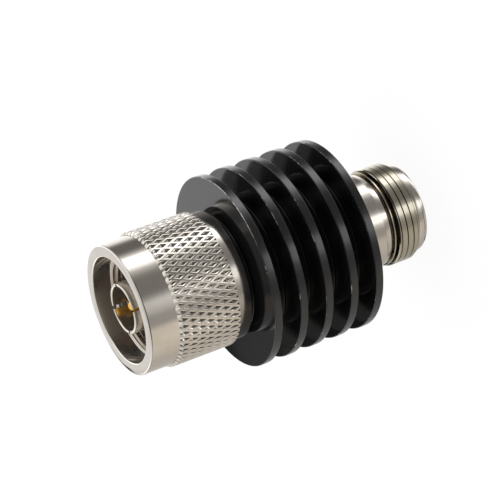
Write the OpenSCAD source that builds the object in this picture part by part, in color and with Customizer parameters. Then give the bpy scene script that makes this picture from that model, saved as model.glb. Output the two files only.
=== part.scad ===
// Coaxial fixed attenuator: threaded plug at the top, threaded jack at the bottom,
// finned heat sink between them. The axis is +Z and the jack's face is at z = 0.
// All sizes are in millimetres.

/* [Coupling nut] */
// Length of the coupling nut
nut_length = 17.2; // [14:0.1:22]
// Diameter of the smooth front band
band_d = 20.6; // [19.5:0.1:26]
// Length of the smooth front band
band_length = 4.75; // [3:0.05:7]
// Length of the knurled grip
knurl_length = 10.15; // [5:0.05:12]
// Distance between knurl pits, measured around the nut
knurl_pitch = 1.16; // [0.8:0.01:2]
// Angle of the knurl's ridges to the axis
knurl_angle = 22; // [15:1:45]
// Height of the knurl's ridges above the smooth band
knurl_rise = 0.4; // [0.2:0.05:0.6]
// Depth of the knurl's pits below its ridges
knurl_depth = 0.36; // [0.2:0.02:0.6]
// Bevel at both ends of the knurl
knurl_bevel = 0.2; // [0.1:0.05:0.3]
// Step from the smooth band down to the rear lip, on the radius
lip_drop = 0.1; // [0:0.05:0.5]
// Diameter of the smooth mouth in front of the nut's thread
mouth_d = 16.8; // [16.4:0.1:18.5]
// Depth of the smooth mouth
mouth_depth = 3; // [1:0.1:4]
// Angle of the cone that leads into the nut's thread
lead_in_angle = 30; // [15:1:45]
// Width of the thread run-out in the nut
relief_width = 1.6; // [1:0.1:2]
// Diameter of the thread run-out in the nut
relief_d = 16.2; // [16:0.1:17.5]
// Bevel on the nut's outer edges
nut_bevel = 0.25; // [0.1:0.05:0.8]

/* [Coupling thread] */
// Outer diameter of the jack's thread
thread_d = 15.88; // [15.2:0.01:16.2]
// Depth of the thread, on the radius
thread_depth = 0.54; // [0.3:0.01:0.7]

/* [Plug] */
// Diameter of the plug shell that the nut turns on
bearing_d = 12.3; // [11.5:0.1:13.2]
// Distance from the nut's mouth to the plug shell's front face
plug_depth = 10.2; // [9:0.1:12]
// Thickness of the mating gasket
gasket_thickness = 1.5; // [0.8:0.1:2]
// Set-back of the outer contact behind the nut's mouth
contact_setback = 0.7; // [0:0.1:2]
// Outer diameter of the outer contact's spring fingers
contact_d = 8.06; // [7.8:0.01:8.2]
// Diameter of the outer contact's root, pressed into the shell
contact_root_d = 8.6; // [8.4:0.1:9.2]
// Length of the outer contact's root inside the shell
contact_seat = 3; // [1.5:0.1:4]
// Number of slots in the outer contact
contact_slots = 4; // [3:1:6]
// Width of the outer contact's slots
contact_slot_width = 0.5; // [0.3:0.05:0.8]
// Length of the outer contact's slots
contact_slot_length = 6.6; // [4:0.1:7.2]
// Diameter of the plug's pin
pin_d = 1.65; // [1.4:0.01:1.68]
// Set-back of the pin's tip behind the outer contact's front
pin_setback = 1; // [0.5:0.1:2]
// Length of the pin's rounded tip
pin_tip_length = 0.75; // [0.4:0.05:1.2]

/* [Coaxial line] */
// Inner diameter of the outer conductor
line_d = 7; // [6.8:0.05:7.2]
// Diameter of the centre conductor
conductor_d = 3.04; // [2.8:0.01:3.2]
// Diameter of the centre conductor inside a bead
waist_d = 2.5; // [2.2:0.05:2.7]
// Diameter of the conductors' tails that rest on the chip
tail_d = 1.8; // [1.2:0.05:2]
// Length of a tail over the chip
tail_lap = 1.9; // [1:0.1:2.5]
// Distance from the mating plane to the centre conductor's shoulder or tip
shoulder_depth = 5.28; // [4.8:0.01:5.6]
// Length of each insulating bead
bead_length = 3; // [2:0.1:4]
// Length of each bead retaining ring
bead_ring_length = 2; // [1:0.1:3]
// Wall of each bead retaining ring
bead_ring_wall = 0.9; // [0.5:0.05:1.5]

/* [Snap ring] */
// Distance from the plug shell's front face to the snap ring
ring_offset = 2.6; // [2:0.1:4]
// Thickness of the snap ring along the axis
ring_thickness = 0.8; // [0.5:0.05:1.2]
// Radial width of the snap ring
ring_width = 1.2; // [0.8:0.05:1.5]
// Depth of the snap ring's groove in the plug shell
ring_groove_depth = 0.65; // [0.4:0.05:0.8]
// Opening of the split in the snap ring
ring_split = 3; // [1:0.1:6]

/* [Heat sink] */
// Diameter of the cooling fins
fin_d = 30.5; // [26:0.1:40]
// Thickness of a fin
fin_thickness = 1.3; // [0.8:0.1:2]
// Distance from one fin to the next
fin_pitch = 4.43; // [3.5:0.01:6]
// Number of fins
fin_count = 5; // [2:1:8]
// Bevel on the fins' edges
fin_bevel = 0.15; // [0.05:0.05:0.3]
// Diameter of the heat sink's hub between the fins
hub_d = 21; // [17:0.1:24]
// Diameter of the boss in front of the first fin
boss_d = 18; // [15:0.1:20]
// Length of the boss in front of the first fin
boss_length = 0.75; // [0.4:0.05:2]
// Diameter of the bore through the heat sink
sink_bore_d = 10.4; // [10:0.1:11.4]
// Length of each shell's spigot inside the heat sink
spigot_length = 4.5; // [3:0.1:5]

/* [Attenuator chip] */
// Width of the chip
chip_width = 6; // [4:0.1:7]
// Thickness of the chip
chip_thickness = 1; // [0.5:0.1:1.5]
// Set-back of the chip's ends inside the carriers
chip_setback = 0.5; // [0.2:0.1:1]
// Width of the clamping ledge along each edge of the chip
chip_ledge = 0.6; // [0.3:0.1:1]
// Height of the channel over the chip
channel_height = 3; // [2:0.1:3.5]

/* [Jack] */
// Distance from the jack's face to the heat sink
jack_length = 13.6; // [12.5:0.1:18]
// Diameter of the jack's nose in front of its thread
nose_d = 14.3; // [13:0.1:14.8]
// Length of the jack's nose
nose_length = 1.7; // [1:0.1:3]
// Width of the thin groove between the nose and the thread
nose_groove_width = 0.3; // [0.2:0.05:0.6]
// Diameter of the thin groove
nose_groove_d = 13.7; // [12.5:0.1:14]
// Bevel on the nose's edge
nose_bevel = 0.7; // [0.2:0.05:0.8]
// Length of the jack's thread
thread_length = 3.3; // [2:0.1:3.6]
// Bevel that leads onto the thread
thread_lead_in = 0.5; // [0.2:0.05:0.6]
// Bevel at the rear end of the thread
thread_bevel = 0.15; // [0.1:0.05:0.4]
// Width of the thread's run-out groove
runout_width = 1.05; // [0.4:0.05:1.2]
// Diameter of the thread's run-out groove
runout_d = 12.6; // [11.5:0.1:14]
// Width of the thin ring behind the run-out groove
collar_width = 0.3; // [0.2:0.05:1]
// Diameter of the thin ring
collar_d = 15.3; // [14.5:0.1:15.6]
// Width of the narrow groove behind the thin ring
narrow_groove_width = 0.45; // [0.3:0.05:0.8]
// Diameter of the narrow groove
narrow_groove_d = 13.2; // [12:0.1:14.4]
// Diameter of the jack's barrel
barrel_d = 15.4; // [15:0.1:17]
// Length of the tapered front end of the barrel
barrel_taper = 1; // [0.3:0.1:1.5]
// Step of the barrel's taper, on the radius
barrel_taper_step = 0.25; // [0.1:0.05:0.4]
// Diameter of the jack's mouth
jack_bore_d = 8.18; // [8.1:0.01:8.4]
// Depth of the mating plane behind the jack's face
mating_depth = 9.1; // [8.5:0.1:10]
// Distance from the mating plane to the jack's bead
bead_offset = 1.9; // [0.5:0.1:2.4]
// Bore of the jack's socket
socket_d = 1.7; // [1.68:0.01:1.8]
// Depth of the socket's bore
socket_depth = 6; // [5:0.1:7]
// Number of slots in the socket
socket_slots = 4; // [2:1:4]
// Width of the socket's slots
socket_slot_width = 0.25; // [0.15:0.05:0.3]
// Length of the socket's slots
socket_slot_length = 4.5; // [3:0.1:5]

/* [Clearances] */
// Running clearance between the nut and the plug shell, on the radius
bearing_clearance = 0.05; // [0.02:0.01:0.1]
// Axial gap between the nut's rear face and the heat sink's boss
nut_gap = 0.3; // [0.2:0.05:0.6]
// Gap between the snap ring and the nut's groove
ring_clearance = 0.2; // [0.15:0.05:0.4]
// Fitting clearance of pressed pieces, on the radius
press_clearance = 0.02; // [0.01:0.01:0.05]

/* [Hidden] */
$fn = 96;

// Heights along the axis, from the jack's face upwards
sink_z = jack_length;
fins_top_z = sink_z + (fin_count - 1) * fin_pitch + fin_thickness;
boss_top_z = fins_top_z + boss_length;
nut_z = boss_top_z + nut_gap;
nut_top_z = nut_z + nut_length;
plug_front_z = nut_top_z - plug_depth;
contact_top_z = nut_top_z - contact_setback;
contact_foot_z = plug_front_z - contact_seat;
pin_shoulder_z = contact_top_z - shoulder_depth;
pin_tip_z = contact_top_z - pin_setback;
plug_bead_z = contact_foot_z - bead_length;
carrier_z = sink_z + spigot_length;
carrier_top_z = boss_top_z - spigot_length;
socket_tip_z = mating_depth - shoulder_depth;
jack_bead_z = mating_depth + bead_offset;
jack_bead_top_z = jack_bead_z + bead_length;
ring_top_z = plug_front_z - ring_offset;
ring_z = ring_top_z - ring_thickness;

// Radii shared by pieces that fit each other
bearing_r = bearing_d / 2;
bead_seat_r = contact_root_d / 2 + press_clearance;
bead_r = contact_root_d / 2;
sink_bore_r = sink_bore_d / 2;
spigot_r = sink_bore_r - press_clearance;
thread_root_r = thread_d / 2 - thread_depth;
ring_inner_r = bearing_r - ring_groove_depth + press_clearance;
ring_outer_r = ring_inner_r + ring_width;

// Small edge breaks that have no size of their own
edge = 0.2;
// Overlap that lets one cut or body run clear through another
over = 0.4;
// Steps in the rounded tip of the pin
dome_steps = 4;

nickel = "#c8c2b8";
black = "#1c1c1e";
gold = "#d6a437";
fluoropolymer = "#f1efe8";
silicone = "#9a4a33";
ceramic = "#e6e4da";
brass = "#c9a85a";

// A turned piece from its half outline, as points of radius and height
module turned(outline) {
    rotate_extrude() polygon(outline);
}

// A plain ring between two radii and two heights
module ring(inner_r, outer_r, low, high) {
    turned([[inner_r, low], [outer_r, low], [outer_r, high], [inner_r, high]]);
}

// Slots cut through a contact's wall at its open end, evenly spaced, clear of the X and Y axes
module slots(count, width, reach, low, high) {
    pitch = 360 / count;
    for (i = [0 : count - 1])
        rotate(pitch / 2 + i * pitch)
            translate([0, -width / 2, low]) cube([reach, width, high - low]);
}

// A tube with a knurl of crossing ridges and diamond-shaped pits, bevelled at both ends. Points
// alternate between ridge crossings and pits, and each cell is folded along its ridge.
module knurled_tube(crest_r, depth, pitch, angle, bevel, low, high, inner_r) {
    around = 2 * max(12, round(2 * PI * crest_r / pitch));
    field = high - low - 2 * bevel;
    rows = max(2, round(field * tan(angle) / (pitch / 2)));
    levels = concat([low], [for (j = [0 : rows]) low + bevel + field * j / rows], [high]);
    last = len(levels) - 1;
    function outer_r(j, k) = j == 0 || j == last ? crest_r - bevel
        : (j + k) % 2 == 1 ? crest_r - depth : crest_r;
    points = concat(
        [for (j = [0 : last], k = [0 : around - 1])
            let (a = k * 360 / around, r = outer_r(j, k)) [r * cos(a), r * sin(a), levels[j]]],
        [for (j = [0, last], k = [0 : around - 1])
            let (a = k * 360 / around) [inner_r * cos(a), inner_r * sin(a), levels[j]]]);
    function at(j, k) = j * around + k % around;
    bottom_inner = last + 1;
    top_inner = last + 2;
    skin = [for (j = [0 : last - 1], k = [0 : around - 1])
        each (j + k) % 2 == 0
            ? [[at(j, k), at(j + 1, k + 1), at(j, k + 1)], [at(j, k), at(j + 1, k), at(j + 1, k + 1)]]
            : [[at(j, k), at(j + 1, k), at(j, k + 1)], [at(j, k + 1), at(j + 1, k), at(j + 1, k + 1)]]];
    rest = [for (k = [0 : around - 1]) each [
        [at(last, k), at(top_inner, k), at(top_inner, k + 1), at(last, k + 1)],
        [at(top_inner, k), at(bottom_inner, k), at(bottom_inner, k + 1), at(top_inner, k + 1)],
        [at(bottom_inner, k), at(0, k), at(0, k + 1), at(bottom_inner, k + 1)]]];
    polyhedron(points, concat(skin, rest));
}

module coupling_nut() {
    band_r = band_d / 2;
    lip_r = band_r - lip_drop;
    crest_r = band_r + knurl_rise;
    band_z = nut_top_z - band_length;
    grip_z = band_z - knurl_length;
    mouth_r = mouth_d / 2;
    mouth_z = nut_top_z - mouth_depth;
    lead_in = mouth_r - thread_root_r;
    relief_r = relief_d / 2;
    bore_r = bearing_r + bearing_clearance;
    shoulder_z = plug_front_z - relief_width / 2;
    groove_r = ring_outer_r + ring_clearance;
    groove_z = ring_z - ring_clearance;
    groove_top_z = ring_top_z + ring_clearance;
    color(nickel) difference() {
        union() {
            turned([
                [bore_r, nut_z], [lip_r - nut_bevel, nut_z], [lip_r, nut_z + nut_bevel],
                [lip_r, grip_z + over], [band_r, grip_z + over],
                [band_r, nut_top_z - nut_bevel], [band_r - nut_bevel, nut_top_z],
                [mouth_r + edge, nut_top_z], [mouth_r, nut_top_z - edge], [mouth_r, mouth_z],
                [thread_root_r, mouth_z - lead_in * tan(lead_in_angle)],
                [thread_root_r, shoulder_z + relief_width], [relief_r, shoulder_z + relief_width],
                [relief_r, shoulder_z], [bore_r, shoulder_z]
            ]);
            knurled_tube(crest_r, knurl_depth, knurl_pitch, knurl_angle, knurl_bevel, grip_z,
                band_z, lip_r - over);
        }
        ring(bore_r - over, groove_r, groove_z, groove_top_z);
    }
}

module snap_ring() {
    color(nickel) difference() {
        ring(ring_inner_r, ring_outer_r, ring_z, ring_top_z);
        translate([0, -ring_split / 2, ring_z - over])
            cube([ring_outer_r + over, ring_split, ring_thickness + 2 * over]);
    }
}

module mating_gasket() {
    color(silicone) turned([
        [bead_seat_r, plug_front_z], [bearing_r - edge, plug_front_z],
        [bearing_r - edge, plug_front_z + gasket_thickness - edge],
        [bearing_r - 2 * edge, plug_front_z + gasket_thickness],
        [bead_seat_r, plug_front_z + gasket_thickness]
    ]);
}

module plug_shell() {
    groove_r = bearing_r - ring_groove_depth;
    color(nickel) difference() {
        turned([
            [bead_seat_r, carrier_top_z], [spigot_r - edge, carrier_top_z],
            [spigot_r, carrier_top_z + edge], [spigot_r, boss_top_z], [bearing_r, boss_top_z],
            [bearing_r, plug_front_z - edge], [bearing_r - edge, plug_front_z],
            [bead_seat_r, plug_front_z]
        ]);
        ring(groove_r, bearing_r + over, ring_z - press_clearance, ring_top_z + press_clearance);
    }
}

module outer_contact() {
    finger_r = contact_d / 2;
    line_r = line_d / 2;
    root_top_z = plug_front_z + gasket_thickness;
    // The fingers' ends are bevelled by a third of their wall on each side
    tip = (finger_r - line_r) / 3;
    color(nickel) difference() {
        turned([
            [line_r, contact_foot_z], [contact_root_d / 2, contact_foot_z],
            [contact_root_d / 2, root_top_z], [finger_r, root_top_z],
            [finger_r, contact_top_z - tip], [finger_r - tip, contact_top_z],
            [line_r + tip, contact_top_z], [line_r, contact_top_z - tip]
        ]);
        slots(contact_slots, contact_slot_width, contact_root_d,
            contact_top_z - contact_slot_length, contact_top_z + over);
    }
}

// An insulating bead between the outer conductor and the waist of the centre conductor
module bead(low) {
    color(fluoropolymer) ring(waist_d / 2 + press_clearance, bead_r, low, low + bead_length);
}

// A pressed ring that holds a bead in its shell
module bead_ring(low) {
    color(brass) ring(bead_r - bead_ring_wall, bead_r, low, low + bead_ring_length);
}

module plug_bead() bead(plug_bead_z);

module plug_bead_ring() bead_ring(plug_bead_z - bead_ring_length);

module jack_bead() bead(jack_bead_z);

module jack_bead_ring() bead_ring(jack_bead_top_z);

// Space below the chip's film side, cut from a tail so that its flat rests on the film
module tail_flat(low, high) {
    translate([-tail_d, -tail_d, low]) cube([2 * tail_d, tail_d, high - low]);
}

module centre_pin() {
    pin_r = pin_d / 2;
    tail_z = carrier_top_z - chip_setback - tail_lap;
    dome = [for (i = [0 : dome_steps])
        let (a = i * 90 / dome_steps)
            [pin_r * cos(a), pin_tip_z - pin_tip_length * (1 - sin(a))]];
    color(gold) difference() {
        turned(concat([
            [0, tail_z], [tail_d / 2, tail_z], [tail_d / 2, plug_bead_z],
            [waist_d / 2, plug_bead_z], [waist_d / 2, contact_foot_z],
            [conductor_d / 2, contact_foot_z], [conductor_d / 2, pin_shoulder_z - edge],
            [conductor_d / 2 - edge, pin_shoulder_z], [pin_r, pin_shoulder_z]
        ], dome));
        tail_flat(tail_z - over, carrier_top_z);
    }
}

module heat_sink() {
    fin_r = fin_d / 2;
    hub_r = hub_d / 2;
    boss_r = boss_d / 2;
    fins = [for (i = [0 : fin_count - 1])
        let (low = sink_z + i * fin_pitch, high = low + fin_thickness)
            each [[hub_r, low], [fin_r - fin_bevel, low], [fin_r, low + fin_bevel],
                [fin_r, high - fin_bevel], [fin_r - fin_bevel, high], [hub_r, high]]];
    color(black) turned(concat(
        [[sink_bore_r, sink_z]], fins,
        [[boss_r, fins_top_z], [boss_r, boss_top_z - edge], [boss_r - edge, boss_top_z],
            [sink_bore_r, boss_top_z]]));
}

// Round bar that fills the heat sink's bore between the two spigots
module carrier_bar() {
    translate([0, 0, carrier_z]) cylinder(r = spigot_r, h = carrier_top_z - carrier_z);
}

module carrier_upper() {
    length = carrier_top_z - carrier_z;
    slot_width = chip_width + 2 * press_clearance;
    color(brass) difference() {
        carrier_bar();
        translate([-sink_bore_r, -2 * sink_bore_r - chip_thickness, carrier_z - over])
            cube([sink_bore_d, 2 * sink_bore_r, length + 2 * over]);
        translate([-slot_width / 2, -chip_thickness - over, carrier_z - over])
            cube([slot_width, chip_thickness + over, length + 2 * over]);
        translate([chip_ledge - chip_width / 2, -over, carrier_z - over])
            cube([chip_width - 2 * chip_ledge, channel_height + over, length + 2 * over]);
    }
}

module carrier_lower() {
    color(brass) difference() {
        carrier_bar();
        translate([-sink_bore_r, -chip_thickness, carrier_z - over])
            cube([sink_bore_d, sink_bore_d, carrier_top_z - carrier_z + 2 * over]);
    }
}

module attenuator_chip() {
    color(ceramic)
        translate([-chip_width / 2, -chip_thickness, carrier_z + chip_setback])
            cube([chip_width, chip_thickness, carrier_top_z - carrier_z - 2 * chip_setback]);
}

module jack_shell() {
    nose_r = nose_d / 2;
    thread_r = thread_d / 2;
    nose_groove_r = nose_groove_d / 2;
    runout_r = runout_d / 2;
    narrow_r = narrow_groove_d / 2;
    collar_r = collar_d / 2;
    barrel_r = barrel_d / 2;
    bore_r = jack_bore_d / 2;
    thread_z = nose_length + nose_groove_width;
    runout_z = thread_z + thread_length;
    collar_z = runout_z + runout_width;
    narrow_z = collar_z + collar_width;
    barrel_z = narrow_z + narrow_groove_width;
    color(nickel) turned([
        [bore_r + edge, 0], [nose_r - nose_bevel, 0], [nose_r, nose_bevel],
        [nose_r, nose_length], [nose_groove_r, nose_length], [nose_groove_r, thread_z],
        [thread_r - thread_lead_in, thread_z], [thread_r, thread_z + thread_lead_in],
        [thread_r, runout_z - thread_bevel], [thread_r - thread_bevel, runout_z],
        [runout_r, runout_z], [runout_r, collar_z], [collar_r, collar_z], [collar_r, narrow_z],
        [narrow_r, narrow_z], [narrow_r, barrel_z], [barrel_r - barrel_taper_step, barrel_z],
        [barrel_r, barrel_z + barrel_taper], [barrel_r, sink_z], [spigot_r, sink_z],
        [spigot_r, carrier_z - edge], [spigot_r - edge, carrier_z], [bead_seat_r, carrier_z],
        [bead_seat_r, jack_bead_z], [line_d / 2, jack_bead_z], [line_d / 2, mating_depth],
        [bore_r, mating_depth], [bore_r, edge]
    ]);
}

module jack_contact() {
    socket_r = socket_d / 2;
    tail_top_z = carrier_z + chip_setback + tail_lap;
    // The socket's end is bevelled by a third of its wall on each side
    rim = (conductor_d / 2 - socket_r) / 3;
    color(gold) difference() {
        turned([
            [0, socket_tip_z + socket_depth], [socket_r, socket_tip_z + socket_depth],
            [socket_r, socket_tip_z + rim], [socket_r + rim, socket_tip_z],
            [conductor_d / 2 - rim, socket_tip_z], [conductor_d / 2, socket_tip_z + rim],
            [conductor_d / 2, jack_bead_z], [waist_d / 2, jack_bead_z],
            [waist_d / 2, jack_bead_top_z], [tail_d / 2, jack_bead_top_z],
            [tail_d / 2, tail_top_z], [0, tail_top_z]
        ]);
        slots(socket_slots, socket_slot_width, conductor_d, socket_tip_z - over,
            socket_tip_z + socket_slot_length);
        tail_flat(carrier_z, tail_top_z + over);
    }
}

coupling_nut();
snap_ring();
mating_gasket();
plug_shell();
outer_contact();
plug_bead();
plug_bead_ring();
centre_pin();
heat_sink();
carrier_upper();
carrier_lower();
attenuator_chip();
jack_shell();
jack_bead();
jack_bead_ring();
jack_contact();
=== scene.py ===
import math

import bmesh
import bpy
from mathutils import Matrix, Vector


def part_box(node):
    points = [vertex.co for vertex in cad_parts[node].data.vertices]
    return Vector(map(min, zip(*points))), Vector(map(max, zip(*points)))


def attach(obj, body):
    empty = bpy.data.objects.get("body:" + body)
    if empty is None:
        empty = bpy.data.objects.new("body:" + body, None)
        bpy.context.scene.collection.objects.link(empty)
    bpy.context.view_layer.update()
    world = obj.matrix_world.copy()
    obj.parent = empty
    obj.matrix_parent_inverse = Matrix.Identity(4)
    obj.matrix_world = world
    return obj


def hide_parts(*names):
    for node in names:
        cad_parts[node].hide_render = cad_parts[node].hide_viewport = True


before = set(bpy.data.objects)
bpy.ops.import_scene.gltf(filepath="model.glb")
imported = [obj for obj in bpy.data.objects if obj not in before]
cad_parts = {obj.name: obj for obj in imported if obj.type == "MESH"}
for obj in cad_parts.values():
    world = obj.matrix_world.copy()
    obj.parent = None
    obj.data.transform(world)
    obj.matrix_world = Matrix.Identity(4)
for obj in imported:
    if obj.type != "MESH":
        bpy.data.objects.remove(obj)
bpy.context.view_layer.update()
bpy.ops.object.select_all(action="DESELECT")
print("frame loaded:", len(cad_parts), "solids")

# Outlines are written in millimetres and built in metres
mm = 0.001
weldGap = 0.001 * mm
fullTurn = 2 * math.pi
threadPitch = 25.4 / 24
patternCentre = (0, 0, 25)


def heightsAndRadius(node):
    low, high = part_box(node)
    return low.z / mm, high.z / mm, high.x / mm


# Helpers for drawing and turning outlines

def softened(corners, arcSteps=4):
    points = []
    for index, corner in enumerate(corners):
        here = Vector(corner[:2])
        if len(corner) < 3:
            points.append(here)
            continue
        toPrevious = (Vector(corners[index - 1][:2]) - here).normalized()
        toNext = (Vector(corners[(index + 1) % len(corners)][:2]) - here).normalized()
        half = math.acos(max(-1, min(1, toPrevious.dot(toNext)))) / 2
        reach = corner[2] / math.tan(half)
        centre = here + (toPrevious + toNext).normalized() * corner[2] / math.sin(half)
        start, end = here + toPrevious * reach - centre, here + toNext * reach - centre
        sweep = start.angle_signed(end)
        for step in range(arcSteps + 1):
            turn = Matrix.Rotation(-sweep * step / arcSteps, 2)
            points.append(centre + turn @ start)
    return points


def selectWhere(piece, chosen, kind="verts"):
    bpy.ops.mesh.select_all(action="DESELECT")
    bpy.ops.mesh.select_mode(type={"verts": "VERT", "edges": "EDGE"}[kind])
    mesh = bmesh.from_edit_mesh(piece.data)
    for element in getattr(mesh, kind):
        if chosen(element):
            element.select_set(True)
    bmesh.update_edit_mesh(piece.data)


def drawnOutline(name, points):
    bpy.ops.mesh.primitive_plane_add(size=mm)
    piece = bpy.context.object
    piece.name = piece.data.name = name
    bpy.ops.object.mode_set(mode="EDIT")
    bpy.ops.mesh.select_mode(type="VERT")
    bpy.ops.mesh.select_all(action="SELECT")
    bpy.ops.mesh.merge(type="CENTER")
    here = Vector((0, 0))
    for index, point in enumerate(points):
        move = ((point.x - here.x) * mm, 0, (point.y - here.y) * mm)
        if index == 0:
            bpy.ops.transform.translate(value=move)
        else:
            bpy.ops.mesh.extrude_vertices_move(TRANSFORM_OT_translate={"value": move})
        here = point
    ends = {0, len(points) - 1}
    selectWhere(piece, lambda vert: vert.index in ends)
    bpy.ops.mesh.edge_face_add()
    return piece


def turned(name, corners, steps=192):
    piece = drawnOutline(name, softened(corners))
    bpy.ops.mesh.select_all(action="SELECT")
    bpy.ops.mesh.spin(steps=steps, angle=fullTurn, center=(0, 0, 0), axis=(0, 0, 1))
    closeUp()
    return piece


def closeUp():
    bpy.ops.mesh.select_all(action="SELECT")
    bpy.ops.mesh.remove_doubles(threshold=weldGap)
    bpy.ops.mesh.normals_make_consistent(inside=False)
    bpy.ops.object.mode_set(mode="OBJECT")


def applied(piece, kind, **settings):
    bpy.context.view_layer.objects.active = piece
    modifier = piece.modifiers.new(kind.title(), kind)
    for key, value in settings.items():
        setattr(modifier, key, value)
    bpy.ops.object.modifier_apply(modifier=modifier.name)


def joined(piece, *others):
    bpy.ops.object.select_all(action="DESELECT")
    for other in others:
        other.select_set(True)
    piece.select_set(True)
    bpy.context.view_layer.objects.active = piece
    bpy.ops.object.join()
    return piece


def finished(piece, body, node, material, edgeAngle=35):
    bpy.ops.object.select_all(action="DESELECT")
    piece.select_set(True)
    bpy.context.view_layer.objects.active = piece
    bpy.ops.object.shade_smooth_by_angle(angle=math.radians(edgeAngle))
    applied(piece, "WEIGHTED_NORMAL", keep_sharp=True, weight=100)
    piece.data.materials.clear()
    piece.data.materials.append(material)
    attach(piece, body)
    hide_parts(node)
    bpy.ops.object.select_all(action="DESELECT")


def threadRidge(name, thread):
    # One tooth section wound up the axis past both ends of the thread, then cut to its room
    wall, crest, sunkBy = thread["wallR"], thread["crestR"], thread["sunkBy"]
    out = 1 if crest > wall else -1
    sunk = wall - out * sunkBy
    halfFoot, halfCrest = thread["footWidth"] / 2, thread["crestWidth"] / 2
    section = [
        (sunk, -halfFoot), (crest, -halfCrest), (crest, 0), (crest, halfCrest), (sunk, halfFoot),
    ]
    low, high = thread["low"], thread["high"]
    start = low - thread["pitch"]
    piece = drawnOutline(name, [Vector((r, start + z)) for r, z in section])
    bpy.ops.object.mode_set(mode="OBJECT")
    turns = (high - low) / thread["pitch"] + 2
    steps = round(turns * thread["stepsPerTurn"])
    applied(piece, "SCREW", axis="Z", angle=fullTurn * turns, steps=steps, render_steps=steps,
            screw_offset=thread["pitch"] * turns * mm, use_merge_vertices=False)
    bpy.ops.object.mode_set(mode="EDIT")
    bpy.ops.mesh.select_all(action="SELECT")
    bpy.ops.mesh.fill_holes(sides=len(section))
    bpy.ops.transform.rotate(value=math.radians(thread["phase"]), orient_axis="Z",
                             center_override=(0, 0, 0))
    closeUp()
    room = turned(name + "Room", [
        (sunk - out * sunkBy, low), (crest - out * thread["lowBevel"], low),
        (crest + out * sunkBy, low + thread["lowBevel"] + sunkBy),
        (crest + out * sunkBy, high - thread["highBevel"] - sunkBy),
        (crest - out * thread["highBevel"], high), (sunk - out * sunkBy, high),
    ])
    applied(piece, "BOOLEAN", object=room, operation="INTERSECT", solver="EXACT")
    bpy.data.objects.remove(room)
    return piece


# Node helpers

def linked(tree, source, target):
    tree.links.new(source, target)


def mathNode(tree, operation, first, second=None):
    node = tree.nodes.new("ShaderNodeMath")
    node.operation = operation
    for socket, value in zip(node.inputs, (first, second)):
        if isinstance(value, (int, float)):
            socket.default_value = value
        elif value is not None:
            linked(tree, value, socket)
    return node.outputs[0]


def mapped(tree, value, fromLow, fromHigh, toLow, toHigh):
    node = tree.nodes.new("ShaderNodeMapRange")
    linked(tree, value, node.inputs["Value"])
    names = ("From Min", "From Max", "To Min", "To Max")
    for name, number in zip(names, (fromLow, fromHigh, toLow, toHigh)):
        node.inputs[name].default_value = number
    return node.outputs["Result"]


def mixedColour(tree, factor, first, second):
    node = tree.nodes.new("ShaderNodeMix")
    node.data_type = "RGBA"
    linked(tree, factor, node.inputs[0])
    for socket, colour in ((node.inputs[6], first), (node.inputs[7], second)):
        if isinstance(colour, tuple):
            socket.default_value = (*colour, 1)
        else:
            linked(tree, colour, socket)
    return node.outputs[2]


def millimetres(tree, centre=(0, 0, 0)):
    place = tree.nodes.new("ShaderNodeTexCoord")
    mapping = tree.nodes.new("ShaderNodeMapping")
    mapping.inputs["Scale"].default_value = (1 / mm,) * 3
    mapping.inputs["Location"].default_value = [-part for part in centre]
    linked(tree, place.outputs["Object"], mapping.inputs["Vector"])
    return mapping.outputs["Vector"]


def separated(tree, place):
    parts = tree.nodes.new("ShaderNodeSeparateXYZ")
    linked(tree, place, parts.inputs[0])
    return parts.outputs["X"], parts.outputs["Y"], parts.outputs["Z"]


def radiusAndHeight(tree, place):
    x, y, height = separated(tree, place)
    squares = [mathNode(tree, "MULTIPLY", part, part) for part in (x, y)]
    return mathNode(tree, "SQRT", mathNode(tree, "ADD", *squares)), height


def reachTowards(tree, place, degrees):
    x, y, height = separated(tree, place)
    angle = math.radians(degrees)
    reach = mathNode(tree, "ADD", mathNode(tree, "MULTIPLY", x, math.cos(angle)),
                     mathNode(tree, "MULTIPLY", y, math.sin(angle)))
    return reach, height


def noise(tree, place, scale, detail, roughness=0.5):
    node = tree.nodes.new("ShaderNodeTexNoise")
    linked(tree, place, node.inputs["Vector"])
    node.inputs["Scale"].default_value = scale
    node.inputs["Detail"].default_value = detail
    node.inputs["Roughness"].default_value = roughness
    return node.outputs["Fac"]


def bump(tree, height, strength, distance):
    node = tree.nodes.new("ShaderNodeBump")
    linked(tree, height, node.inputs["Height"])
    node.inputs["Strength"].default_value = strength
    node.inputs["Distance"].default_value = distance * mm
    return node.outputs["Normal"]


def newGroup(name, outputName):
    tree = bpy.data.node_groups.new(name, "ShaderNodeTree")
    tree.interface.new_socket(outputName, in_out="OUTPUT", socket_type="NodeSocketFloat")
    return tree, tree.nodes.new("NodeGroupOutput")


# Fine rings left by the lathe, along the axis and across flat faces
turningMarks, marksOut = newGroup("turningMarks", "Marks")
markRadius, markHeight = radiusAndHeight(turningMarks, millimetres(turningMarks))
markPlace = turningMarks.nodes.new("ShaderNodeCombineXYZ")
linked(turningMarks, markRadius, markPlace.inputs["X"])
linked(turningMarks, markHeight, markPlace.inputs["Y"])
markNoise = noise(turningMarks, markPlace.outputs[0], scale=5, detail=4, roughness=0.7)
linked(turningMarks, markNoise, marksOut.inputs[0])

# Faint patches from handling
handling, handlingOut = newGroup("handling", "Patches")
handlingNoise = noise(handling, millimetres(handling, patternCentre),
                      scale=0.22, detail=5, roughness=0.6)
linked(handling, mapped(handling, handlingNoise, 0.35, 0.7, 0, 1), handlingOut.inputs[0])


def grouped(tree, group):
    node = tree.nodes.new("ShaderNodeGroup")
    node.node_tree = group
    return node.outputs[0]


def newMaterial(name):
    material = bpy.data.materials.new(name)
    material.use_nodes = True
    tree = material.node_tree
    shader = tree.nodes["Principled BSDF"]
    return material, tree, shader


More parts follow.
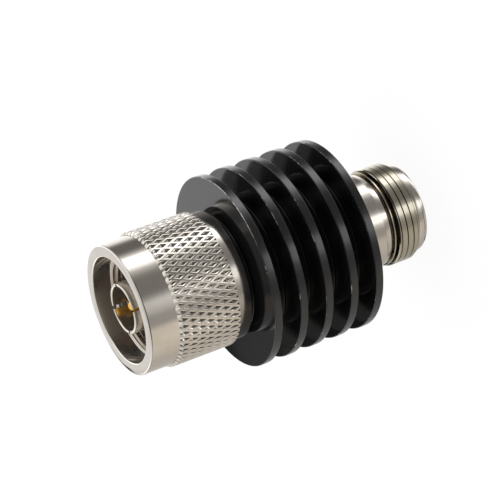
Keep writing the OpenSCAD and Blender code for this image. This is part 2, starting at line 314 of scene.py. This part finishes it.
def baseColourOf(material):
    tree = material.node_tree
    socket = tree.nodes["Principled BSDF"].inputs["Base Color"]
    return tree, socket, socket.links[0].from_socket


def wornSurface(tree, shader, smooth, rough, markDepth):
    # Handling patches and the lathe's rings set the roughness
    patches, marks = grouped(tree, handling), grouped(tree, turningMarks)
    worn = mathNode(tree, "MULTIPLY", mathNode(tree, "ADD", patches, marks), 0.5)
    linked(tree, mapped(tree, worn, 0.2, 0.8, smooth, rough), shader.inputs["Roughness"])
    linked(tree, bump(tree, marks, strength=0.3, distance=markDepth), shader.inputs["Normal"])
    return patches


def turnedMetal(name, colour, tarnishAndShade, smooth, rough, markDepth, shine=1, boreR=None, boreShine=1):
    material, tree, shader = newMaterial(name)
    shader.inputs["Metallic"].default_value = shine
    if boreR:
        # The plating differs inside the bore
        radius = radiusAndHeight(tree, millimetres(tree))[0]
        linked(tree, mapped(tree, radius, boreR + 0.02, boreR + 0.1, boreShine, shine),
               shader.inputs["Metallic"])
    patches = wornSurface(tree, shader, smooth, rough, markDepth)
    linked(tree, mixedColour(tree, patches, colour, tarnishAndShade), shader.inputs["Base Color"])
    return material


nickelFinish = {
    "colour": (0.66, 0.62, 0.57), "tarnishAndShade": (0.6, 0.56, 0.5), "smooth": 0.07, "rough": 0.14,
    "markDepth": 0.005,
}
nickel = turnedMetal("brightNickel", **nickelFinish)
gold = turnedMetal("goldPlate", (0.8, 0.46, 0.04), (0.74, 0.4, 0.03),
                   smooth=0.22, rough=0.32, markDepth=0.004, shine=0.62)
brass = turnedMetal("plainBrass", (0.6, 0.43, 0.16), (0.5, 0.34, 0.12),
                    smooth=0.25, rough=0.4, markDepth=0.01)
springSteel = turnedMetal("springSteel", (0.5, 0.5, 0.5), (0.42, 0.42, 0.42),
                          smooth=0.25, rough=0.4, markDepth=0.006)


def plainMaterial(name, colour, shade, rough, grain, grainDepth):
    material, tree, shader = newMaterial(name)
    speckle = noise(tree, millimetres(tree, patternCentre), scale=grain, detail=3)
    linked(tree, mixedColour(tree, speckle, colour, shade), shader.inputs["Base Color"])
    linked(tree, mapped(tree, speckle, 0.3, 0.7, rough - 0.05, rough + 0.05),
           shader.inputs["Roughness"])
    linked(tree, bump(tree, speckle, strength=0.3, distance=grainDepth), shader.inputs["Normal"])
    return material


fluoropolymer = plainMaterial("fluoropolymer", (0.87, 0.86, 0.82), (0.8, 0.79, 0.75),
                              rough=0.45, grain=3, grainDepth=0.01)
silicone = plainMaterial("silicone", (0.25, 0.1, 0.07), (0.2, 0.08, 0.055),
                         rough=0.55, grain=5, grainDepth=0.02)
ceramic = plainMaterial("ceramic", (0.8, 0.79, 0.74), (0.72, 0.71, 0.67),
                        rough=0.5, grain=6, grainDepth=0.01)

for nodeName, material in {
    "snap_ring": springSteel, "mating_gasket": silicone, "plug_shell": nickel,
    "plug_bead": fluoropolymer, "plug_bead_ring": brass, "centre_pin": gold,
    "carrier_upper": brass, "carrier_lower": brass, "attenuator_chip": ceramic,
    "jack_bead": fluoropolymer, "jack_bead_ring": brass, "jack_contact": gold,
}.items():
    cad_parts[nodeName].data.materials.clear()
    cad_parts[nodeName].data.materials.append(material)
print("shared materials made")

# Heat sink: one turned piece with five fins, a hub and a boss
sinkLow, sinkHigh, finR = heightsAndRadius("heat_sink")
sink = {
    "finCount": 5, "finPitch": 4.43, "finThickness": 1.3, "edgeRound": 0.14,
    "hubR": 10.5, "bossR": 9.0, "boreR": 5.2, "rootRound": 0.2,
    "black": (0.006, 0.006, 0.0065), "bare": (0.5, 0.48, 0.45), "wornOffFace": (0.05, 0.13),
    "wornOffRim": (0.15, 0.06), "scuffAngle": -82, "scuffReach": (0.82, 0.93), "scuffFade": 0.1,
}


def heatSink():
    corners = [(sink["boreR"], sinkLow)]
    for index in range(sink["finCount"]):
        low = sinkLow + index * sink["finPitch"]
        high = low + sink["finThickness"]
        root = [(sink["hubR"], low, sink["rootRound"])] if index else []
        corners += root + [(finR, low, sink["edgeRound"]), (finR, high, sink["edgeRound"])]
        isLast = index == sink["finCount"] - 1
        corners.append((sink["bossR"] if isLast else sink["hubR"], high, sink["rootRound"]))
    corners += [(sink["bossR"], sinkHigh, sink["edgeRound"]), (sink["boreR"], sinkHigh)]
    return turned("heatSink", corners)


def blackAnodised():
    material, tree, shader = newMaterial("blackAnodised")
    shader.inputs["IOR"].default_value = 1.6
    wornSurface(tree, shader, smooth=0.08, rough=0.16, markDepth=0.006)
    place = millimetres(tree)
    radius, height = radiusAndHeight(tree, place)
    # Bare metal shows through in places along the fins' front edges
    fromFoot = mathNode(tree, "SUBTRACT", height, sinkLow)
    inPitch = mathNode(tree, "MODULO", fromFoot, sink["finPitch"])
    offFace = mathNode(tree, "ABSOLUTE", mathNode(tree, "SUBTRACT", inPitch, sink["finThickness"]))
    nearFace = mapped(tree, offFace, *sink["wornOffFace"], 1, 0)
    nearRim = mapped(tree, radius, *[finR - depth for depth in sink["wornOffRim"]], 0, 1)
    flecks = noise(tree, place, scale=0.3, detail=6, roughness=0.7)
    broken = mapped(tree, flecks, 0.56, 0.66, 0, 1)
    # The front fin is scuffed in one place
    frontFinLow = sinkLow + (sink["finCount"] - 1) * sink["finPitch"]
    onFront = mapped(tree, height, frontFinLow, frontFinLow + sink["scuffFade"], 0, 1)
    reach = reachTowards(tree, place, sink["scuffAngle"])[0]
    nearScuff = mapped(tree, reach, *[share * finR for share in sink["scuffReach"]], 0, 1)
    scuffed = mathNode(tree, "MULTIPLY", nearScuff, onFront)
    dashes = noise(tree, place, scale=1.1, detail=4, roughness=0.7)
    dashes = mapped(tree, dashes, 0.4, 0.55, 0, 1)
    broken = mathNode(tree, "MAXIMUM", broken, mathNode(tree, "MULTIPLY", scuffed, dashes))
    worn = mathNode(tree, "MULTIPLY", mathNode(tree, "MULTIPLY", nearFace, nearRim), broken)
    linked(tree, mixedColour(tree, worn, sink["black"], sink["bare"]), shader.inputs["Base Color"])
    linked(tree, worn, shader.inputs["Metallic"])
    return material


finished(heatSink(), "attenuator", "heat_sink", blackAnodised())
print("heat sink made")

# Coupling nut: turned body, diamond knurl and inner thread
nutLow, nutHigh, knurlCrestR = heightsAndRadius("coupling_nut")
nut = {
    "bandLength": 4.75, "knurlLength": 10.15, "knurlRise": 0.4, "knurlBevel": 0.35,
    "pitCount": 58, "pitRowStep": 1.41, "lastPitSet": 0.34, "ridgeWidth": 0.3,
    "ridgeRound": 0.08, "pitDepth": 0.36, "pitFloor": 0.03, "lipDrop": 0.1, "coreDrop": 0.3,
    "frontRound": 0.25, "lipRound": 0.16, "mouthR": 8.4, "mouthRound": 0.2, "mouthDepth": 3,
    "threadWallR": 7.97, "leadInAngle": 30, "reliefR": 8.1, "reliefWidth": 1.6, "plugDepth": 10.2,
    "boreR": 6.2, "boreRound": 0.1, "ringGrooveR": 6.92, "ringGrooveLow": 3.4,
    # The lip settings from here on paint shade on one side of the rear lip
    "ringGrooveHigh": 4.6, "lipShadeAngle": 161, "lipShadeColour": (0.125, 0.12, 0.115),
    "lipShadeFade": 0.05,
}
bandR = knurlCrestR - nut["knurlRise"]
coreR = bandR - nut["coreDrop"]
bandLow = nutHigh - nut["bandLength"]
gripLow = bandLow - nut["knurlLength"]
mouthLow = nutHigh - nut["mouthDepth"]
leadIn = (nut["mouthR"] - nut["threadWallR"]) * math.tan(math.radians(nut["leadInAngle"]))
shoulder = nutHigh - nut["plugDepth"] - nut["reliefWidth"] / 2
innerThread = {
    "wallR": nut["threadWallR"], "crestR": 7.4, "sunkBy": 0.08, "pitch": threadPitch,
    "footWidth": 0.6, "crestWidth": 0.4, "stepsPerTurn": 96, "phase": 20, "lowBevel": 0.1,
    "highBevel": 0.1, "low": shoulder + nut["reliefWidth"], "high": mouthLow - leadIn,
}


def nutBody():
    lipR = bandR - nut["lipDrop"]
    grooveLow, grooveHigh = nutLow + nut["ringGrooveLow"], nutLow + nut["ringGrooveHigh"]
    return turned("couplingNut", [
        (nut["boreR"], nutLow, nut["boreRound"]), (lipR, nutLow, nut["lipRound"]),
        (lipR, gripLow + nut["coreDrop"]), (coreR, gripLow + nut["coreDrop"]),
        (coreR, bandLow - nut["coreDrop"]), (bandR, bandLow - nut["coreDrop"]),
        (bandR, nutHigh, nut["frontRound"]), (nut["mouthR"], nutHigh, nut["mouthRound"]),
        (nut["mouthR"], mouthLow), (nut["threadWallR"], innerThread["high"]),
        (nut["threadWallR"], innerThread["low"]), (nut["reliefR"], innerThread["low"]),
        (nut["reliefR"], shoulder), (nut["boreR"], shoulder, nut["boreRound"]),
        (nut["boreR"], grooveHigh), (nut["ringGrooveR"], grooveHigh),
        (nut["ringGrooveR"], grooveLow), (nut["boreR"], grooveLow),
    ])


def knurl():
    # One diamond is inset to a pit, then spun around and stacked in staggered rows
    count, rowStep = nut["pitCount"], nut["pitRowStep"]
    crestHigh = bandLow - nut["knurlBevel"]
    rows = math.ceil(nut["knurlLength"] / rowStep) + 2
    firstRow = crestHigh - nut["lastPitSet"] - (rows - 2) * rowStep
    halfWidth = knurlCrestR * math.sin(math.pi / count)
    flatR = knurlCrestR * math.cos(math.pi / count)
    bpy.ops.mesh.primitive_circle_add(
        vertices=4, radius=1, fill_type="NGON", rotation=(0, math.pi / 2, 0),
        location=(flatR * mm, 0, firstRow * mm))
    piece = bpy.context.object
    piece.scale = (rowStep * mm, halfWidth * mm, mm)
    bpy.ops.object.transform_apply(location=True, rotation=True, scale=True)
    bpy.ops.object.mode_set(mode="EDIT")
    selectWhere(piece, lambda vert: abs(vert.co.y) < halfWidth * mm / 2)
    bpy.ops.transform.translate(value=((knurlCrestR - flatR) * mm, 0, 0))
    bpy.ops.mesh.select_mode(type="FACE")
    bpy.ops.mesh.select_all(action="SELECT")
    slope = halfWidth * rowStep / math.hypot(halfWidth, rowStep)
    slope -= nut["ridgeWidth"] / 2 + nut["ridgeRound"] + nut["pitFloor"]
    roundDrop = nut["ridgeRound"] / 2
    bpy.ops.mesh.inset(thickness=nut["ridgeWidth"] / 2 * mm, depth=0)
    bpy.ops.mesh.inset(thickness=nut["ridgeRound"] * mm, depth=-roundDrop * mm)
    bpy.ops.mesh.inset(thickness=slope * mm, depth=(roundDrop - nut["pitDepth"]) * mm)
    bpy.ops.mesh.select_all(action="SELECT")
    bpy.ops.mesh.spin(steps=count - 1, dupli=True, angle=fullTurn * (count - 1) / count,
                      center=(0, 0, 0), axis=(0, 0, 1))
    bpy.ops.mesh.select_all(action="SELECT")
    bpy.ops.mesh.duplicate()
    bpy.ops.transform.translate(value=(0, 0, rowStep * mm))
    bpy.ops.transform.rotate(value=math.pi / count, orient_axis="Z", center_override=(0, 0, 0))
    bpy.ops.object.mode_set(mode="OBJECT")
    applied(piece, "ARRAY", count=math.ceil(rows / 2), use_relative_offset=False,
            use_constant_offset=True, constant_offset_displace=(0, 0, 2 * rowStep * mm))
    bpy.ops.object.mode_set(mode="EDIT")
    bpy.ops.mesh.select_all(action="SELECT")
    bpy.ops.mesh.remove_doubles(threshold=2 * weldGap)
    for level, above in ((gripLow, False), (crestHigh, True)):
        bpy.ops.mesh.select_all(action="SELECT")
        bpy.ops.mesh.bisect(plane_co=(0, 0, level * mm), plane_no=(0, 0, 1),
                            clear_inner=not above, clear_outer=above)
    middle = (gripLow + crestHigh) / 2 * mm
    selectWhere(piece, lambda edge: edge.is_boundary and edge.verts[0].co.z > middle, "edges")
    taper = bandR / knurlCrestR
    bpy.ops.mesh.extrude_region_move(
        TRANSFORM_OT_translate={"value": (0, 0, nut["knurlBevel"] * mm)})
    bpy.ops.transform.resize(value=(taper, taper, 1))
    selectWhere(piece, lambda edge: edge.is_boundary, "edges")
    shrink = coreR / knurlCrestR
    bpy.ops.mesh.extrude_region_move()
    bpy.ops.transform.resize(value=(shrink, shrink, 1))
    selectWhere(piece, lambda edge: edge.is_boundary, "edges")
    bpy.ops.mesh.bridge_edge_loops()
    closeUp()
    return piece


def paintedLipShade(material):
    # Painted shade: the rear lip's colour is darkened on one side
    tree, socket, unshaded = baseColourOf(material)
    reach, height = reachTowards(tree, millimetres(tree), nut["lipShadeAngle"])
    onSide = mapped(tree, reach, bandR / 2, bandR, 0, 1)
    onLip = mapped(tree, height, gripLow - nut["lipShadeFade"], gripLow + nut["lipShadeFade"], 1, 0)
    # Painted shade mask: one side of the nut, on the rear lip only
    tarnishAndShade = mathNode(tree, "MULTIPLY", onSide, onLip)
    linked(tree, mixedColour(tree, tarnishAndShade, unshaded, nut["lipShadeColour"]), socket)


nutNickel = turnedMetal("nutNickel", **nickelFinish, boreR=nut["mouthR"], boreShine=0.91)
# Painted shade on one side of the rear lip
paintedLipShade(nutNickel)
couplingNut = joined(nutBody(), knurl(), threadRidge("innerThread", innerThread))
finished(couplingNut, "nut", "coupling_nut", nutNickel)
print("coupling nut made:", len(couplingNut.data.polygons), "faces")

# Jack: turned shell with a short outer thread, two grooves and a plain barrel
jackLow, jackHigh, jackThreadR = heightsAndRadius("jack_shell")
jack = {
    "noseR": 7.15, "noseLength": 1.7, "noseRound": 0.8, "noseGroove": 0.3, "threadLength": 3.8,
    "threadRootR": 7.68, "runoutWidth": 0.5, "runoutR": 6.3, "grooveR": 6.85, "collarR": 7.65,
    "collarWidth": 0.3, "narrowWidth": 0.45, "narrowR": 6.6, "taperR": 7.45, "taperLength": 1.0,
    "barrelR": 7.7, "barrelRound": 0.4, "spigotR": 5.18, "spigotRound": 0.2, "mouthR": 4.09,
    "mouthRound": 0.2, "matingDepth": 9.1, "lineR": 3.5, "beadLow": 11.0, "seatR": 4.32,
    "smallRound": 0.08,
    # Painted shade in the grooves: its colour, and where it sits by radius and height
    "grooveShade": (0.33, 0.285, 0.235), "grooveShadeR": (7.05, 7.3), "grooveShadeBoreR": (5.6, 5.8),
    "grooveShadeFromNose": (0, 0.02), "grooveShadeHigh": (6.75, 7),
    # Painted shade on the thread and the thin ring: its colour, strength, and where it sits
    "threadShade": (0.43, 0.4, 0.32), "threadShadeShare": 0.85, "threadShadeR": (6.9, 7.1),
    "threadShadeFromNose": (0.2, 0.3), "threadShadeHigh": (6.75, 6.85),
}
threadLow = jack["noseLength"] + jack["noseGroove"]
outerThread = {
    "wallR": jack["threadRootR"], "crestR": jackThreadR, "sunkBy": 0.08, "pitch": threadPitch,
    "footWidth": 1.04, "crestWidth": 0.84, "stepsPerTurn": 96, "phase": 50, "lowBevel": 0.5,
    "highBevel": 0.15, "low": threadLow, "high": threadLow + jack["threadLength"],
}


def jackShell():
    small = jack["smallRound"]
    barrelHigh = sinkLow
    threadHigh = outerThread["high"]
    collarLow = threadHigh + jack["runoutWidth"]
    collarHigh = collarLow + jack["collarWidth"]
    barrelLow = collarHigh + jack["narrowWidth"]
    return turned("jackShell", [
        (jack["mouthR"], jackLow, jack["mouthRound"]), (jack["noseR"], jackLow, jack["noseRound"]),
        (jack["noseR"], jack["noseLength"], small), (jack["grooveR"], jack["noseLength"]),
        (jack["grooveR"], threadLow), (jack["threadRootR"], threadLow),
        (jack["threadRootR"], threadHigh), (jack["runoutR"], threadHigh, small),
        (jack["runoutR"], collarLow, small), (jack["collarR"], collarLow, small),
        (jack["collarR"], collarHigh, small), (jack["narrowR"], collarHigh, small),
        (jack["narrowR"], barrelLow, small), (jack["taperR"], barrelLow, small),
        (jack["barrelR"], barrelLow + jack["taperLength"], jack["barrelRound"]),
        (jack["barrelR"], barrelHigh, small), (jack["spigotR"], barrelHigh),
        (jack["spigotR"], jackHigh, jack["spigotRound"]), (jack["seatR"], jackHigh),
        (jack["seatR"], jack["beadLow"]), (jack["lineR"], jack["beadLow"]),
        (jack["lineR"], jack["matingDepth"]), (jack["mouthR"], jack["matingDepth"]),
    ])


def behindNose(tree, mask, height, fromNose, high):
    low = [jack["noseLength"] + step for step in fromNose]
    mask = mathNode(tree, "MULTIPLY", mask, mapped(tree, height, *low, 0, 1))
    return mathNode(tree, "MULTIPLY", mask, mapped(tree, height, *high, 1, 0))


def paintedGrooveShade(material):
    # Painted shade darkens the grooves, and a lighter painted shade darkens and warms the thread
    # and the thin ring to dim their highlights
    tree, socket, unshaded = baseColourOf(material)
    radius, height = radiusAndHeight(tree, millimetres(tree))
    # Painted shade mask for the grooves, by radius and height
    grooveShade = mathNode(tree, "MULTIPLY", mapped(tree, radius, *jack["grooveShadeR"], 1, 0),
                     mapped(tree, radius, *jack["grooveShadeBoreR"], 0, 1))
    grooveShade = behindNose(tree, grooveShade, height, jack["grooveShadeFromNose"], jack["grooveShadeHigh"])
    # Painted shade on the thread and the thin ring, darkened and warmed to dim their highlights
    threadShade = mapped(tree, radius, *jack["threadShadeR"], 0, jack["threadShadeShare"])
    threadShade = behindNose(tree, threadShade, height, jack["threadShadeFromNose"], jack["threadShadeHigh"])
    threadShaded = mixedColour(tree, threadShade, unshaded, jack["threadShade"])
    linked(tree, mixedColour(tree, grooveShade, threadShaded, jack["grooveShade"]), socket)


jackNickel = turnedMetal("jackNickel", **nickelFinish)
# Painted shade in the jack's grooves and on its thread and thin ring
paintedGrooveShade(jackNickel)
finished(joined(jackShell(), threadRidge("outerThread", outerThread)),
         "attenuator", "jack_shell", jackNickel)
print("jack made")

# Outer contact: slotted ground sleeve inside the nut
contactLow, contactHigh, contactRootR = heightsAndRadius("outer_contact")
contact = {
    "fingerR": 4.03, "lineR": 3.5, "rootLength": 4.5, "rootRound": 0.1, "tipRound": 0.2,
    "slotWidth": 0.5, "slotLength": 6.6, "slotAngles": (45, 135), "slotEdge": 0.05,
    "sharpAngle": 50,
}


def outerContact():
    rootHigh = contactLow + contact["rootLength"]
    piece = turned("outerContact", [
        (contact["lineR"], contactLow), (contactRootR, contactLow, contact["rootRound"]),
        (contactRootR, rootHigh), (contact["fingerR"], rootHigh),
        (contact["fingerR"], contactHigh, contact["tipRound"]),
        (contact["lineR"], contactHigh, contact["tipRound"]),
    ])
    for angle in contact["slotAngles"]:
        bpy.ops.mesh.primitive_cube_add(
            size=1, location=(0, 0, contactHigh * mm), rotation=(0, 0, math.radians(angle)),
            scale=Vector((4 * contactRootR, contact["slotWidth"], 2 * contact["slotLength"])) * mm)
        cutter = bpy.context.object
        applied(piece, "BOOLEAN", object=cutter, operation="DIFFERENCE", solver="EXACT")
        bpy.data.objects.remove(cutter)
    applied(piece, "BEVEL", width=contact["slotEdge"] * mm, segments=2, limit_method="ANGLE",
            angle_limit=math.radians(contact["sharpAngle"]))
    return piece


dullNickel = turnedMetal("dullNickel", (0.66, 0.61, 0.53), (0.6, 0.55, 0.47),
                         smooth=0.1, rough=0.18, markDepth=0.005, shine=0.72,
                         boreR=contact["lineR"], boreShine=0.92)
finished(outerContact(), "attenuator", "outer_contact", dullNickel)
print("outer contact made")

# Floor, studio light and camera
view = {
    "lens": 180, "sensor": 36, "elevation": 23.511, "roll": -109.921, "turn": -34,
    "aimAcross": 1.834, "aimHeight": 27.365, "distance": 383.01, "clip": (0.01, 20),
}
turnToView = Matrix.Rotation(math.radians(view["turn"]), 4, "Z")
ground = {"size": 6, "colour": (0.95, 0.95, 0.95, 1), "whiteToCamera": 0.94}


def floor():
    bpy.ops.mesh.primitive_plane_add(size=ground["size"])
    piece = bpy.context.object
    piece.name = "floor"
    piece.visible_glossy = False
    material = bpy.data.materials.new("paleFloor")
    material.use_nodes = True
    tree = material.node_tree
    tree.nodes.clear()
    matte = tree.nodes.new("ShaderNodeBsdfDiffuse")
    matte.inputs["Color"].default_value = ground["colour"]
    glow = tree.nodes.new("ShaderNodeEmission")
    mix = tree.nodes.new("ShaderNodeMixShader")
    path = tree.nodes.new("ShaderNodeLightPath")
    white = mathNode(tree, "MULTIPLY", path.outputs["Is Camera Ray"], ground["whiteToCamera"])
    linked(tree, white, mix.inputs[0])
    linked(tree, matte.outputs[0], mix.inputs[1])
    linked(tree, glow.outputs[0], mix.inputs[2])
    linked(tree, mix.outputs[0], tree.nodes.new("ShaderNodeOutputMaterial").inputs[0])
    piece.data.materials.append(material)


def compassRamp(tree, compass, panels, brightest):
    ramp = tree.nodes.new("ShaderNodeValToRGB")
    linked(tree, mapped(tree, compass, -math.pi, math.pi, 0, 1), ramp.inputs[0])
    stops = ramp.color_ramp.elements
    while len(stops) < len(panels):
        stops.new(0.5)
    for stop, (angle, level, warmth) in zip(stops, panels):
        stop.position = (angle + 180) / 360
        share = level / brightest
        # A warm panel loses blue, and less green
        stop.color = (share, share * (1 - 0.4 * warmth), share * (1 - warmth), 1)
    return ramp.outputs[0]


def studio():
    # Panels around the part, each list one tier of compass angle, brightness and warmth
    nutPanels = [
        (-180, 0.84, 0.18), (-166, 0.86, 0.19), (-144, 0.84, 0.17), (-133, 0.42, 0.08),
        (-120, 0.42, 0.06), (-110, 0.62, 0.03), (-96, 0.7, 0), (-88, 0.36, 0.03), (-80, 0.24, 0.06),
        (-54, 0.25, 0.08), (-46, 0.33, 0.06), (-36, 0.7, 0.02), (-28, 1.7, 0), (-20, 2.9, 0),
        (-10, 2.6, 0), (-2, 0.85, 0.02), (5, 0.35, 0.06), (12, 0.19, 0.09), (30, 0.18, 0.08),
        (38, 0.32, 0.04), (47, 1.0, 0), (56, 1.35, 0), (80, 1.3, 0), (90, 0.7, 0.05),
        (122, 0.58, 0.1), (138, 0.58, 0.13), (154, 0.62, 0.15), (170, 0.76, 0.17),
        (180, 0.84, 0.18),
    ]
    lowPanels = [
        (-180, 0.66, 0.12), (-160, 0.72, 0.15), (-146, 0.66, 0.14), (-134, 0.44, 0.1),
        (-120, 0.46, 0.1), (-110, 0.85, 0.05), (-102, 1.8, 0), (-90, 1.9, 0), (-82, 0.6, 0.03),
        (-72, 0.29, 0.06), (-54, 0.28, 0.06), (-42, 0.4, 0.04), (-30, 1.2, 0), (-22, 2.6, 0),
        (-10, 2.6, 0), (0, 0.9, 0.02), (8, 0.3, 0.06), (16, 0.2, 0.08), (28, 0.25, 0.06),
        (40, 0.6, 0.03), (50, 1.2, 0), (58, 1.35, 0), (84, 1.3, 0), (94, 0.7, 0.03),
        (122, 0.56, 0.06), (140, 0.56, 0.08), (160, 0.6, 0.1), (180, 0.66, 0.12),
    ]
    highPanels = [
        (-180, 0.7, 0.15), (-165, 0.6, 0.15), (-150, 0.15, 0), (-40, 0.15, 0), (-20, 1.3, 0),
        (73, 1.3, 0), (82, 0.03, 0), (97, 0.03, 0), (104, 1, 0), (150, 1, 0), (180, 0.7, 0.15),
    ]
    levelPanels = [
        (-180, 0.45, 0), (-165, 0.2, 0), (-152, 0.04, 0), (-60, 0.08, 0), (-45, 0.5, 0),
        (-25, 0.9, 0), (-12, 0.5, 0), (20, 0.45, 0), (34, 0.7, 0), (46, 1, 0), (64, 0.9, 0),
        (78, 0.1, 0), (112, 0.04, 0), (142, 0.06, 0), (158, 0.45, 0), (180, 0.45, 0),
    ]
    floorPanels = [
        (-180, 0.2, 0), (-172, 0.04, 0), (-148, 0.06, 0), (-60, 0.3, 0), (-22, 1.5, 0), (0, 1, 0),
        (33, 0.45, 0), (50, 0.8, 0), (68, 1.2, 0), (90, 0.4, 0), (104, 0.05, 0), (132, 0.08, 0),
        (152, 0.5, 0), (168, 0.5, 0), (180, 0.25, 0),
    ]
    # Heights, from -1 below to 1 above, over which one tier fades into the next
    fade = {
        "lowToNut": (-0.41, -0.37), "nutToHigh": (-0.22, -0.1), "gapToHigh": (-0.1, 0.05),
        "levelToRoom": (0.15, 0.25), "highToTop": (0.88, 0.93), "offFloor": (0.02, 0.06),
    }
    floorHeight = -0.67
    # How much higher the high panels hang at the sides, and the others behind
    raised = {"right": 0.55, "left": -0.3, "behind": 0.25}
    roomLevel, topLevel = 0.1, 1
    brightest = max(panel[1] for panel in nutPanels + lowPanels)
    world = bpy.data.worlds.new("studio")
    bpy.context.scene.world = world
    world.use_nodes = True
    tree = world.node_tree
    tree.nodes.clear()
    place = tree.nodes.new("ShaderNodeTexCoord")
    mapping = tree.nodes.new("ShaderNodeMapping")
    mapping.inputs["Rotation"].default_value = (0, 0, -math.radians(view["turn"]))
    linked(tree, place.outputs["Generated"], mapping.inputs["Vector"])
    x, y, rise = separated(tree, mapping.outputs[0])
    compass = mathNode(tree, "ARCTAN2", y, x)

    def ramp(panels):
        return compassRamp(tree, compass, panels, brightest)

    def plain(level):
        return (level / brightest,) * 3

    def fading(height, name):
        return mapped(tree, height, *fade[name], 0, 1)

    aside = mathNode(tree, "MAXIMUM", mathNode(tree, "MULTIPLY", x, raised["right"]),
                     mathNode(tree, "MULTIPLY", x, raised["left"]))
    aboveGap = fading(mathNode(tree, "SUBTRACT", rise, aside), "gapToHigh")
    level = mixedColour(tree, fading(rise, "levelToRoom"), ramp(levelPanels), plain(roomLevel))
    high = mixedColour(tree, aboveGap, level, ramp(highPanels))
    high = mixedColour(tree, fading(rise, "highToTop"), high, plain(topLevel))
    around = mixedColour(tree, fading(rise, "lowToNut"), ramp(lowPanels), ramp(nutPanels))
    offFloor = mathNode(tree, "ABSOLUTE", mathNode(tree, "SUBTRACT", rise, floorHeight))
    around = mixedColour(tree, fading(offFloor, "offFloor"), ramp(floorPanels), around)
    behind = mathNode(tree, "MULTIPLY", mathNode(tree, "MAXIMUM", y, 0), raised["behind"])
    overPanels = fading(mathNode(tree, "SUBTRACT", rise, behind), "nutToHigh")
    colour = mixedColour(tree, overPanels, around, high)
    light = tree.nodes.new("ShaderNodeBackground")
    light.inputs["Strength"].default_value = brightest
    linked(tree, colour, light.inputs["Color"])
    white = tree.nodes.new("ShaderNodeBackground")
    white.inputs["Color"].default_value = (1, 1, 1, 1)
    mix = tree.nodes.new("ShaderNodeMixShader")
    path = tree.nodes.new("ShaderNodeLightPath")
    linked(tree, path.outputs["Is Camera Ray"], mix.inputs[0])
    linked(tree, light.outputs[0], mix.inputs[1])
    linked(tree, white.outputs[0], mix.inputs[2])
    linked(tree, mix.outputs[0], tree.nodes.new("ShaderNodeOutputWorld").inputs[0])


def softbox(name, centre, size, level, facing=0, lean=0, inReflections=True):
    data = bpy.data.lights.new(name, "AREA")
    data.shape = "RECTANGLE"
    data.size, data.size_y = size[0] * mm, size[1] * mm
    data.energy = level * math.pi * data.size * data.size_y
    piece = bpy.data.objects.new(name, data)
    bpy.context.scene.collection.objects.link(piece)
    facingTurn = Matrix.Rotation(math.radians(facing), 4, "X")
    leanTurn = Matrix.Rotation(math.radians(lean), 4, "Z")
    place = Matrix.Translation(Vector(centre) * mm)
    piece.matrix_world = turnToView @ place @ facingTurn @ leanTurn
    piece.visible_camera = False
    piece.visible_glossy = inReflections


def camera():
    data = bpy.data.cameras.new("camera")
    data.lens, data.sensor_width = view["lens"], view["sensor"]
    data.clip_start, data.clip_end = view["clip"]
    piece = bpy.data.objects.new("camera", data)
    bpy.context.scene.collection.objects.link(piece)
    tilt = Matrix.Rotation(math.radians(90 - view["elevation"]), 4, "X")
    roll = Matrix.Rotation(math.radians(view["roll"]), 4, "Z")
    aim = Matrix.Translation(Vector((view["aimAcross"], 0, view["aimHeight"])) * mm)
    away = Matrix.Translation((0, 0, view["distance"] * mm))
    piece.matrix_world = turnToView @ aim @ tilt @ away @ roll
    bpy.context.scene.camera = piece


floor()
studio()
softbox("backPanel", (14.3, 60, 75), (53.6, 90), level=0.92, facing=-90, lean=-17)
softbox("sidePanel", (-31.4, 60, 81.9), (30, 36), level=0.85, facing=-90, lean=-17)
softbox("lowFill", (-24, 60, 60), (34, 11), level=0.13, facing=-90)
softbox("overhead", (0, 0, 700), (1200, 1200), level=1.2, inReflections=False)
camera()
bpy.context.scene.view_settings.view_transform = "Standard"
print("stage made")
